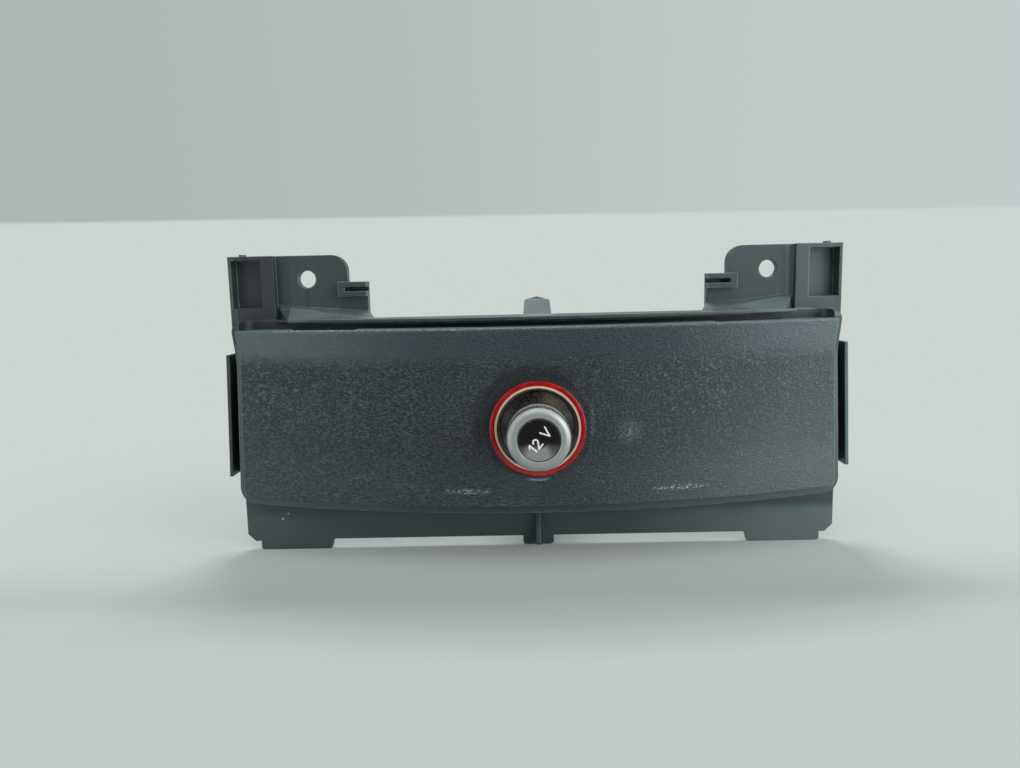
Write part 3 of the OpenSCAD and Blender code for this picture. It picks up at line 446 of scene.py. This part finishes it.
def bracketMarks(finish, base):
    # Painted shade in the clips' slots, on the left block, at the left end of the groove and on the left rail;
    # painted light on the ramps, the bottom flange, the lug, the right pocket and the right rail; a dark bar under
    # the left hole, and pale specks
    x, y, z = finish.fromAxis()
    across = x - carrierMarks["holes' offset"] * mm
    outwards = abs(across)
    facing = finish.facing()
    behindBlock = finish.fade(y, *carrierMarks["behind block"])

    # Painted light in the dust and light colour: the ramps, the bottom flange (more to the right), the lug, the
    # right pocket and the right rail
    ramps = patch(finish, outwards, z, carrierMarks["ramps"])
    ramps = ramps * (1 - finish.fade(y, *carrierMarks["ramps to depth"]))
    ramps = ramps * finish.fade(y, *carrierMarks["ramps from depth"])
    flange = 1 - finish.fade(z, *carrierMarks["flange below"])
    flange = flange * (finish.fade(x, *carrierMarks["flange paler"]) * 0.55 + 0.2)
    lug = band(finish, across, *carrierMarks["lug"]) * finish.fade(z, *carrierMarks["lug above"])
    pocket = band(finish, across, *carrierMarks["pocket"]) * finish.fade(z, *carrierMarks["pocket above"]) * facing
    pocket = pocket * (behindBlock * 0.75 + 0.25)
    # Painted shade on the left rail, painted light on the right one
    rails = finish.fade(abs(x), *carrierMarks["rails from"])
    darkRail = rails * (1 - finish.fade(x, *carrierMarks["dark rail to"]))
    paleRail = rails * (1 - darkRail) * facing
    dustAndPaintedLight = ramps * 0.5 + flange + lug * 0.5 + pocket * 0.7 + paleRail * 0.5

    # Painted shade on the left block and its strip, which is made rougher too
    block = patch(finish, across, z, carrierMarks["block"]) * (1 - behindBlock * 0.6)
    # A dark vertical bar under the left hole
    darkBar = patch(finish, across, z, carrierMarks["darkBar"])
    # Painted shade at the left end of the groove
    grooveEnd = band(finish, z, *carrierMarks["groove end"])
    grooveEnd = grooveEnd * (1 - finish.fade(x, *carrierMarks["groove end to"]))
    grooveEnd = grooveEnd * (1 - finish.fade(y, *carrierMarks["groove end to depth"]))
    # Painted shade in the clips' slots
    slots = patch(finish, outwards, z, carrierMarks["slots"]) * finish.fade(y, *carrierMarks["slots from depth"])
    specks = 0.0
    for place in carrierMarks["specks"]:
        specks = specks + spot(finish, *place) * facing

    base = finish.colours(base, moulded["dust and light colour"], dustAndPaintedLight)
    base = finish.colours(base, carrierMarks["painted rail shade"], darkRail * 0.85)
    base = finish.colours(base, carrierMarks["dark colour"], block * 0.9 + darkBar * 0.6 + grooveEnd * 0.9)
    base = finish.colours(base, carrierMarks["painted slot shade"], slots)
    return finish.colours(base, carrierMarks["speck colour"], specks), block * -0.15


# Black plastic of the plug's body and the pieces behind the panel

blackParts = {
    "colour": srgb(34, 36, 38),
    "dust and light colour": srgb(70, 72, 72),
    "edge highlight colour": srgb(90, 92, 92),
    "tint": (1, 1, 1, 1),
    "texture": 0.3,  # mm
    "depth": 0.02,
    "edge": 0.2,
    "edge wear and highlight": 0.3,
    "gloss": 0.42,
    "shine": 0.5,
}

shoulderLook = {
    "from": (8.5, 9.0),  # mm from the axis
    "to": (14.0, 14.2),
    "from depth": (-1, 0),  # mm behind the light ring's front
    "to depth": (3, 3.2),
    "murk": 0.9,  # mm
    "dark colour": srgb(8, 8, 10),
    "murk colour": srgb(62, 60, 58),
    "reflected brown patch": (5.5, 10.5, 6.0, 4.5),  # across, up, reach and softness in mm
    "reflected brown colour": srgb(118, 98, 78),
    "reflected pale patches": [(-11.5, -6.0, 4.0, 3.0), (12.0, -5.0, 3.5, 3.0)],
    "reflected pale colour": srgb(112, 116, 120),
}


def shoulderMarks(finish, base):
    # The plug's shoulder closes the mouth: painted reflections on it, mottled dark with a brown patch up to the
    # right and pale patches low beside the knob
    x, y, z = finish.fromAxis()
    radius = finish.length(x, z)
    shoulder = finish.fade(radius, *shoulderLook["from"]) * (1 - finish.fade(radius, *shoulderLook["to"]))
    shoulder = shoulder * finish.fade(y, *shoulderLook["from depth"])
    shoulder = shoulder * (1 - finish.fade(y, *shoulderLook["to depth"]))
    murk = finish.ease(finish.noise(shoulderLook["murk"], 4.0, 0.75), 0.4, 0.66)
    brown = spot(finish, *shoulderLook["reflected brown patch"]) * (murk * 0.6 + 0.4)
    paleReflections = 0.0
    for place in shoulderLook["reflected pale patches"]:
        paleReflections = paleReflections + spot(finish, *place)
    mottled = finish.colours(shoulderLook["dark colour"], shoulderLook["murk colour"], murk)
    mottled = finish.colours(mottled, shoulderLook["reflected brown colour"], brown * 0.85)
    mottled = finish.colours(mottled, shoulderLook["reflected pale colour"], paleReflections * 0.7)
    return finish.colours(base, mottled, shoulder), shoulder * 0.3


# Red translucent plastic of the light ring

ringLook = {
    "colour": srgb(182, 24, 24),
    "deep colour": srgb(132, 14, 18),
    "bleed": (2 * mm, 0.4 * mm, 0.4 * mm),  # how far red, green and blue light pass under the surface
    "streak": 2.5,  # mm
    "fine grain": 0.6,
    "depth": 0.01,
}


def redPlastic():
    finish = newFinish("redPlastic", {
        "Roughness": 0.22, "Coat Weight": 0.3, "Coat Roughness": 0.1,
        "Subsurface Weight": 0.25, "Subsurface Radius": ringLook["bleed"], "Subsurface Scale": 1.0,
    })
    streak = finish.noise(ringLook["streak"], 3.0, 0.6, 0.8)
    finish.feed(finish.shader, {
        "Base Color": finish.colours(ringLook["colour"], ringLook["deep colour"], finish.ease(streak, 0.35, 0.75)),
        "Normal": finish.bump(finish.noise(ringLook["fine grain"]), ringLook["depth"]),
    })
    return finish.material


# Plated steel of the socket shell, with a painted highlight on its rolled rim, warmed by the red ring beside it

plating = {
    "colour": srgb(205, 200, 192),
    "rim highlight colour": srgb(236, 200, 178),
    "stain colour": srgb(140, 126, 110),
    "rim from": (13.9, 14.02),  # mm from the axis
    "front to": (1.0, 1.3),  # mm behind the light ring's front
    "inside to": (6.0, 8.0),
    "turned lines": (1.2, 0.13, 1.2),  # mm
    "stain": 6,
    "depth": 0.004,
    "gloss": 0.13,
}


def platedSteel():
    finish = newFinish("platedSteel", {"Metallic": 1.0})
    x, y, z = finish.fromAxis()
    front = 1 - finish.fade(y, *plating["front to"])
    rim = finish.fade(finish.length(x, z), *plating["rim from"]) * front
    inside = (1 - front) * (1 - finish.fade(y, *plating["inside to"]))
    turning = finish.stretched(plating["turned lines"], 3.0)
    stain = finish.ease(finish.noise(plating["stain"], 4.0, 0.65), 0.5, 0.8)
    base = finish.colours(plating["colour"], plating["stain colour"], stain * 0.6)
    finish.feed(finish.shader, {
        "Base Color": finish.colours(base, plating["rim highlight colour"], rim),
        "Metallic": 1 - rim * 0.75 - inside * 0.25,
        "Roughness": plating["gloss"] + turning * 0.06 + rim * 0.3 + inside * 0.15,
        "Normal": finish.bump(turning, plating["depth"]),
    })
    return finish.material


# Satin silver of the plug's knob, with painted shade in the grooves of its grip. The ridges themselves come in
# addKnurl.

satin = {
    "colour": srgb(176, 182, 178),
    "worn colour": srgb(150, 156, 150),
    "painted groove shade": srgb(6, 7, 7),
    "groove floor": (10.2, 10.25),  # mm from the axis
    "groove top": (10.39, 10.42),
    "side from": (9.9, 10.2),
    "flake": 0.18,  # mm
    "wear": 2.2,
    "depth": 0.006,
    "gloss": 0.36,
    "metal": 0.55,
}

knurl = {
    "Ridges": 80,
    "Radius": 10.24,  # mm
    "Ridge Radius": 0.23,
    "Ridge Length": 4.8,
    "Front Gap": 1.3,  # mm behind the knob's front
}


def satinSilver():
    finish = newFinish("satinSilver", {})
    flake = finish.noise(satin["flake"], 2.0, 0.6)
    wear = finish.ease(finish.noise(satin["wear"], 4.0, 0.65), 0.45, 0.85)
    worn = finish.colours(satin["colour"], satin["worn colour"], wear * 0.5)
    x, y, z = finish.fromAxis()
    radius = finish.length(x, z)
    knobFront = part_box("plug_knob")[0].y - ringFront
    along = band(finish, y - knobFront, knurl["Front Gap"], knurl["Front Gap"] + knurl["Ridge Length"], 0.05)
    # Painted shade between the ridges of the grip
    grooves = finish.fade(radius, *satin["groove floor"]) * (1 - finish.fade(radius, *satin["groove top"]))
    side = finish.fade(radius, *satin["side from"])
    finish.feed(finish.shader, {
        "Base Color": finish.colours(worn, satin["painted groove shade"], grooves * along),
        "Metallic": satin["metal"] - side * 0.45,
        "Roughness": satin["gloss"] + flake * 0.08 - wear * 0.05,
        "Normal": finish.bump(flake, satin["depth"]),
    })
    return finish.material


# Gloss black of the cap, a dark plated disc with a few dust specks

capLook = {
    "colour": srgb(160, 165, 165),
    "speck colour": srgb(190, 190, 190),
    "speck": 0.5,  # mm
    "haze": 3,
    "gloss": 0.05,
}


def glossBlack():
    finish = newFinish("glossBlack", {"Metallic": 1.0})
    specks = finish.ease(finish.noise(capLook["speck"], 1.0, 0.5), 0.76, 0.8)
    haze = finish.noise(capLook["haze"], 3.0, 0.6)
    finish.feed(finish.shader, {
        "Base Color": finish.colours(capLook["colour"], capLook["speck colour"], specks),
        "Roughness": capLook["gloss"] + haze * 0.05 + specks * 0.4,
    })
    return finish.material


# Brass, steel, phenolic board and bulb glass of the pieces behind the panel

metals = {
    "contactBrass": {"colour": srgb(196, 158, 92), "stain colour": srgb(128, 96, 52), "gloss": 0.28},
    "screwSteel": {"colour": srgb(186, 188, 190), "stain colour": srgb(120, 122, 124), "gloss": 0.3},
}

metalWear = {"stain": 1.5, "scratch": (0.4, 0.4, 0.06), "depth": 0.006}  # mm


def plainMetal(name):
    looks = metals[name]
    finish = newFinish(name, {"Metallic": 1.0})
    stain = finish.ease(finish.noise(metalWear["stain"], 4.0, 0.65), 0.4, 0.8)
    scratch = finish.stretched(metalWear["scratch"], 2.0)
    finish.feed(finish.shader, {
        "Base Color": finish.colours(looks["colour"], looks["stain colour"], stain * 0.7),
        "Roughness": looks["gloss"] + stain * 0.2,
        "Normal": finish.bump(scratch, metalWear["depth"]),
    })
    return finish.material


board = {
    "colour": srgb(112, 66, 38),
    "layer colour": srgb(84, 48, 28),
    "layer": (0.3, 0.1, 0.3),  # mm
    "depth": 0.01,
    "gloss": 0.42,
}


def phenolicBoard():
    finish = newFinish("phenolicBoard", {"Roughness": board["gloss"]})
    weave = finish.stretched(board["layer"], 3.0, 0.7)
    finish.feed(finish.shader, {
        "Base Color": finish.colours(board["colour"], board["layer colour"], finish.ease(weave, 0.35, 0.7)),
        "Normal": finish.bump(weave, board["depth"]),
    })
    return finish.material


bulb = {
    "colour": srgb(240, 236, 222),
    "cloud colour": srgb(206, 196, 170),
    "cloud": 2,  # mm
    "gloss": 0.06,
}


def bulbGlass():
    finish = newFinish("bulbGlass", {"Roughness": bulb["gloss"], "IOR": 1.47, "Transmission Weight": 0.6})
    cloud = finish.ease(finish.noise(bulb["cloud"], 3.0, 0.6), 0.4, 0.8)
    finish.feed(finish.shader, {"Base Color": finish.colours(bulb["colour"], bulb["cloud colour"], cloud)})
    return finish.material


finishes = {
    "carrier_plastic": mouldedPlastic("mouldedPlastic", moulded, bracketMarks),
    "grained_plastic": grainedPlastic(),
    "black_plastic": mouldedPlastic("blackPlastic", blackParts, shoulderMarks),
    "red_plastic": redPlastic(),
    "shell_chrome": platedSteel(),
    "contact_brass": plainMetal("contactBrass"),
    "insulator": phenolicBoard(),
    "screw_steel": plainMetal("screwSteel"),
    "bulb_glass": bulbGlass(),
    "satin_silver": satinSilver(),
    "gloss_black": glossBlack(),
}


def dressNodes():
    # Every CAD piece keeps its mesh and takes the finish of its slot in the record
    for part in frame["record"]["subparts"]:
        mesh = nodes[part["node"]].data
        mesh.materials.clear()
        mesh.materials.append(finishes[part["material_slot"]])


dressNodes()
print("pieces dressed")


# Ridges of the grip round the knob, grown in a Geometry Nodes tree

class Growth:
    # The one way that nodes are added to a Geometry Nodes tree
    def __init__(self, name, sizes):
        self.tree = bpy.data.node_groups.new(name, "GeometryNodeTree")
        self.keys = {}
        for label, value in sizes.items():
            kind = "NodeSocketInt" if isinstance(value, int) else "NodeSocketFloat"
            socket = self.tree.interface.new_socket(label, in_out="INPUT", socket_type=kind)
            self.keys[label] = socket.identifier
        self.tree.interface.new_socket("Mesh", in_out="OUTPUT", socket_type="NodeSocketGeometry")
        self.inputs = self.tree.nodes.new("NodeGroupInput").outputs

    def add(self, kind, settings, values):
        node = self.tree.nodes.new(kind)
        for key, value in settings.items():
            setattr(node, key, value)
        for key, value in values.items():
            if isinstance(value, bpy.types.NodeSocket):
                self.tree.links.new(value, node.inputs[key])
            else:
                node.inputs[key].default_value = value
        return node.outputs[0]

    def math(self, operation, first, second=0.0):
        return self.add("ShaderNodeMath", {"operation": operation}, {0: first, 1: second})

    def grow(self, name, sizes, last, material):
        real = self.add("GeometryNodeRealizeInstances", {}, {0: last})
        done = self.add("GeometryNodeSetMaterial", {}, {"Geometry": real, "Material": material})
        self.tree.links.new(done, self.tree.nodes.new("NodeGroupOutput").inputs[0])
        holder = bpy.data.objects.new(name, bpy.data.meshes.new(name))
        bpy.context.collection.objects.link(holder)
        modifier = holder.modifiers.new("growth", "NODES")
        modifier.node_group = self.tree
        for label, value in sizes.items():
            modifier[self.keys[label]] = value
        grown = holder.evaluated_get(bpy.context.evaluated_depsgraph_get())
        mesh = bpy.data.meshes.new_from_object(grown)
        holder.modifiers.clear()
        holder.data = mesh
        return holder


def addKnurl():
    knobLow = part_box("plug_knob")[0]
    growth = Growth("knurlRidges", knurl)
    size = growth.inputs
    index = growth.add("GeometryNodeInputIndex", {}, {})
    angle = growth.math("MULTIPLY", index, growth.math("DIVIDE", math.tau, size["Ridges"]))
    reach = growth.math("MULTIPLY", size["Radius"], mm)
    middle = growth.math("MULTIPLY", size["Ridge Length"], 0.5)
    depth = growth.math("MULTIPLY", growth.math("ADD", middle, size["Front Gap"]), mm)
    around = growth.add("ShaderNodeCombineXYZ", {}, {
        "X": growth.math("ADD", growth.math("MULTIPLY", growth.math("SINE", angle), reach), axisAcross),
        "Y": growth.math("ADD", depth, knobLow.y),
        "Z": growth.math("ADD", growth.math("MULTIPLY", growth.math("COSINE", angle), reach), axisHeight),
    })
    points = growth.add("GeometryNodePoints", {}, {"Count": size["Ridges"], "Position": around})
    ridge = growth.add("GeometryNodeMeshCylinder", {}, {
        "Vertices": 8,
        "Radius": growth.math("MULTIPLY", size["Ridge Radius"], mm),
        "Depth": growth.math("MULTIPLY", size["Ridge Length"], mm),
    })
    placed = growth.add("GeometryNodeInstanceOnPoints", {}, {
        "Points": points, "Instance": ridge, "Rotation": (math.pi / 2, 0, 0),
    })
    grip = growth.grow("knob_knurl", knurl, placed, finishes["satin_silver"])
    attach(grip, "knob")
    print("knurl:", len(grip.data.polygons), "faces")


addKnurl()


# Rating on the cap, drawn in plain strokes

rating = {
    "height": 3.05,  # mm, along a stroke's middle line
    "stroke": 0.5,
    "proud": 0.05,
    "sunk": 0.25,
    "step": 0.003,  # each piece of a stroke stands a hair higher than the last
    "round steps": 6,  # sides of a round end
    "tilt": 50.0,  # degrees
    "letter places": {"1": -3.35, "2": -1.15, "V": 3.3},  # mm along the line of writing
    "line place": -0.15,  # mm across it
    "colour": srgb(244, 244, 242),
    "worn colour": srgb(222, 222, 220),
    "wear": 0.4,  # mm
}


def letterStrokes(letter):
    # Middle lines of a letter one unit high, centred on its own place
    if letter == "1":
        return [[(-0.22, 0.26), (0.04, 0.5), (0.04, -0.5)]]
    if letter == "V":
        return [[(-0.4, 0.5), (0.0, -0.5), (0.4, 0.5)]]
    bowl = [
        (0.27 * math.cos(a), 0.23 + 0.27 * math.sin(a))
        for a in [math.radians(165 - step * 22) for step in range(10)]
    ]
    return [bowl + [(-0.3, -0.5), (0.32, -0.5)]]


def addStroke(mesh, line, width, low, high):
    # A flat ribbon with round ends and corners
    for start, end in zip(line, line[1:]):
        high = high + rating["step"] * mm
        along = (end - start).normalized()
        across = Vector((-along.y, along.x)) * width / 2
        outline = []
        for centre, turn in ((end, -90), (start, 90)):
            for step in range(rating["round steps"] + 1):
                a = math.radians(turn + step * 180 / rating["round steps"])
                outline.append(centre + along * (width / 2) * math.cos(a) + across * math.sin(a))
        bottom = [mesh.verts.new((p.x, p.y, low)) for p in outline]
        top = [mesh.verts.new((p.x, p.y, high)) for p in outline]
        mesh.faces.new(top)
        mesh.faces.new(list(reversed(bottom)))
        for k in range(len(outline)):
            following = (k + 1) % len(outline)
            mesh.faces.new((bottom[k], bottom[following], top[following], top[k]))


def paintedMark():
    finish = newFinish("paintedMark", {"Roughness": 0.5})
    worn = finish.ease(finish.noise(rating["wear"], 3.0, 0.6), 0.35, 0.8)
    finish.feed(finish.shader, {"Base Color": finish.colours(rating["colour"], rating["worn colour"], worn)})
    return finish.material


def addRating():
    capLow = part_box("plug_cap")[0]
    mesh = bmesh.new()
    for letter, place in rating["letter places"].items():
        for line in letterStrokes(letter):
            points = [
                Vector((place + p[0] * rating["height"], rating["line place"] + p[1] * rating["height"])) * mm
                for p in line
            ]
            addStroke(mesh, points, rating["stroke"] * mm, -rating["sunk"] * mm, rating["proud"] * mm)
    bmesh.ops.recalc_face_normals(mesh, faces=mesh.faces)
    # Writing lies in X and Y, is tilted, then stood up to face forwards on the cap
    stand = Matrix.Rotation(math.pi / 2, 4, "X") @ Matrix.Rotation(math.radians(rating["tilt"]), 4, "Z")
    placed = Matrix.Translation((axisAcross, capLow.y, axisHeight)) @ stand
    bmesh.ops.transform(mesh, matrix=placed, verts=mesh.verts)
    data = bpy.data.meshes.new("rating_mark")
    mesh.to_mesh(data)
    mesh.free()
    data.materials.append(paintedMark())
    mark = bpy.data.objects.new("rating_mark", data)
    bpy.context.collection.objects.link(mark)
    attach(mark, "knob")
    print("rating drawn")


addRating()


# Stage: a pale floor that runs out into a plain backdrop, and soft light from behind, above and the right

stage = {
    "floor colour": srgb(204, 212, 208),
    "painted near shade": srgb(185, 191, 187),
    "near turns": (-0.075, -0.01),  # m along Y, where the painted near shade goes over into the floor's colour
    "wall left": srgb(174, 182, 181),
    "wall right": srgb(196, 203, 203),
    "floor reach": 3.0,  # m
    "blend": (0.14, 0.34),  # m from the socket, where the floor goes over into the plain backdrop
    "wall rise": 0.0804,  # height of the line between floor and wall, for each metre away
    "wall slant": -0.008,  # the same for each metre to the right
    "bounce": [(1.1, 1.16, 1.15, 1), (0.14, 0.15, 0.16, 1), (1.6, 1.68, 1.66, 1)],  # left, middle, right
    "bounce turns": [(-0.22, 0.0), (0.0, 0.25)],  # m across
    "shade share": 0.86,  # how much of the floor near the object takes the lamps' light
    "bounce from": (0.05, 0.09),  # m in front, from where the object sees the bounce alone
    "lit less": (0.21, 0.05),  # close in front of the object and further forward
    "lit less turns": (-0.07, -0.048),  # m along Y
    "card": (0.6, 0.6, 0.6, 1),  # the strip of floor that the cap mirrors
    "card reach": (0.012, 0.024),  # m to each side
    "card from": (0.1, 0.12),  # m in front
    "sheet ends": (0.215, 0.24),  # m in front of the fixing holes: what shines see beyond is a dark room
    "sheet reach": (0.08, 0.3),  # m to each side
    "room": (0.03, 0.028, 0.028, 1),
}

sky = {
    "front top": (0.95, 0.98, 0.985, 1),
    "back top": (0.44, 0.46, 0.465, 1),
    "front": (0.03, 0.03, 0.032, 1),
    "left": (0.95, 0.99, 0.99, 1),
    "right": (1.6, 1.67, 1.65, 1),
    "behind": (0.3, 0.32, 0.32, 1),
    # Spans of a direction's X, Y or Z over which one colour goes into the next
    "wall turns": (-0.6, 0.6),
    "horizon": (-0.002, 0.003),
    "left to": (-0.9, -0.1),
    "right from": (0.05, 0.75),
    "behind from": (0.1, 0.6),
    "back top from": (-0.2, 0.3),
    "top from": (0.35, 0.85),
}

lampAim = Vector((0, 0, -0.05))

lamps = {
    "behindAbove": {"place": (-0.05, 0.56, 1.0), "size": (0.5, 0.3), "power": 7.0},
    "rightWindow": {"place": (0.85, -0.6, 0.3), "size": (0.8, 0.6), "power": 3.6},
    "front": {"place": (-0.35, -0.9, 1.1), "size": (0.6, 0.6), "power": 1.5},
}


def addLamp(name):
    looks = lamps[name]
    data = bpy.data.lights.new(name, "AREA")
    data.shape = "RECTANGLE"
    data.size = looks["size"][0]
    data.size_y = looks["size"][1]
    data.energy = looks["power"]
    lamp = bpy.data.objects.new(name, data)
    bpy.context.collection.objects.link(lamp)
    lamp.location = looks["place"]
    lamp.rotation_euler = (lampAim - Vector(looks["place"])).to_track_quat("-Z", "Y").to_euler()


def addFloor():
    reach = stage["floor reach"]
    data = bpy.data.meshes.new("floor")
    corners = [(-reach, -reach), (reach, -reach), (reach, reach), (-reach, reach)]
    data.from_pydata([(x, y, floorHeight) for x, y in corners], [], [(0, 1, 2, 3)])
    floor = bpy.data.objects.new("floor", data)
    bpy.context.collection.objects.link(floor)
    material = bpy.data.materials.new("floorPaper")
    material.use_nodes = True
    tree = material.node_tree
    tree.nodes.clear()
    paper = Finish(tree)
    x, y, z = paper.axes()
    seen = paper.add("LightPath", output="Is Camera Ray")
    # Painted shade: the floor is darker close in front of the object
    colour = paper.colours(stage["painted near shade"], stage["floor colour"], paper.ease(y, *stage["near turns"]))
    # Painted shadow: the floor's colour mixed towards black, most close in front of the object
    close, further = stage["lit less"]
    less = paper.ease(y, *stage["lit less turns"]) * (close - further) + further
    lit = paper.add("BsdfDiffuse", values={"Color": paper.colours(colour, (0, 0, 0, 1), less)})

    # What the floor sends up to the object, apart from what the camera sees
    left, middle, right = stage["bounce"]
    leftTurn, rightTurn = stage["bounce turns"]
    bounce = paper.colours(left, middle, paper.ease(x, *leftTurn))
    bounce = paper.colours(bounce, right, paper.ease(x, *rightTurn))
    card = (1 - paper.ease(abs(x), *stage["card reach"])) * paper.ease(-y, *stage["card from"])
    bounce = paper.colours(bounce, stage["card"], card)
    plain = paper.add("Emission", values={"Color": paper.colours(bounce, colour, seen)})

    away = paper.ease(paper.length(x, y), *stage["blend"])
    before = paper.ease(-y, *stage["bounce from"]) * (1 - seen)
    share = (1 - stage["shade share"]) * seen
    level = away + (1 - away) * (share + before * (1 - share))
    sheet = paper.add("MixShader", values={0: level, 1: lit, 2: plain})
    narrow = 1 - paper.ease(abs(x), *stage["sheet reach"])
    ended = paper.ease(-y, *stage["sheet ends"]) * narrow * (1 - seen)
    room = paper.add("Emission", values={"Color": stage["room"]})
    mixed = paper.add("MixShader", values={0: ended, 1: sheet, 2: room})
    shown = tree.nodes.new("ShaderNodeOutputMaterial")
    tree.links.new(mixed.socket, shown.inputs["Surface"])
    data.materials.append(material)


def addWorld():
    # The camera sees the plain backdrop, and the object is lit by a soft sky that is dim in front
    world = bpy.data.worlds.new("studio")
    bpy.context.scene.world = world
    world.use_nodes = True
    world.node_tree.nodes.clear()
    dome = Finish(world.node_tree)
    x, y, z = dome.axes(dome.add("TexCoord", output="Generated"))
    line = z - abs(y) * stage["wall rise"] - x * stage["wall slant"]
    wall = dome.colours(stage["wall left"], stage["wall right"], dome.ease(x, *sky["wall turns"]))
    seen = dome.colours(stage["floor colour"], wall, dome.ease(line, *sky["horizon"]))
    level = dome.colours(sky["left"], sky["front"], dome.ease(x, *sky["left to"]))
    level = dome.colours(level, sky["right"], dome.ease(x, *sky["right from"]))
    level = dome.colours(level, sky["behind"], dome.ease(y, *sky["behind from"]))
    top = dome.colours(sky["front top"], sky["back top"], dome.ease(y, *sky["back top from"]))
    light = dome.colours(level, top, dome.ease(z, *sky["top from"]))
    path = dome.add("LightPath", output="Is Camera Ray")
    background = dome.add("Background", values={"Color": dome.colours(light, seen, path), "Strength": 1.0})
    shown = world.node_tree.nodes.new("ShaderNodeOutputWorld")
    world.node_tree.links.new(background.socket, shown.inputs["Surface"])


for lampName in lamps:
    addLamp(lampName)
addFloor()
addWorld()
bpy.context.scene.view_settings.view_transform = "Standard"
print("stage lit")
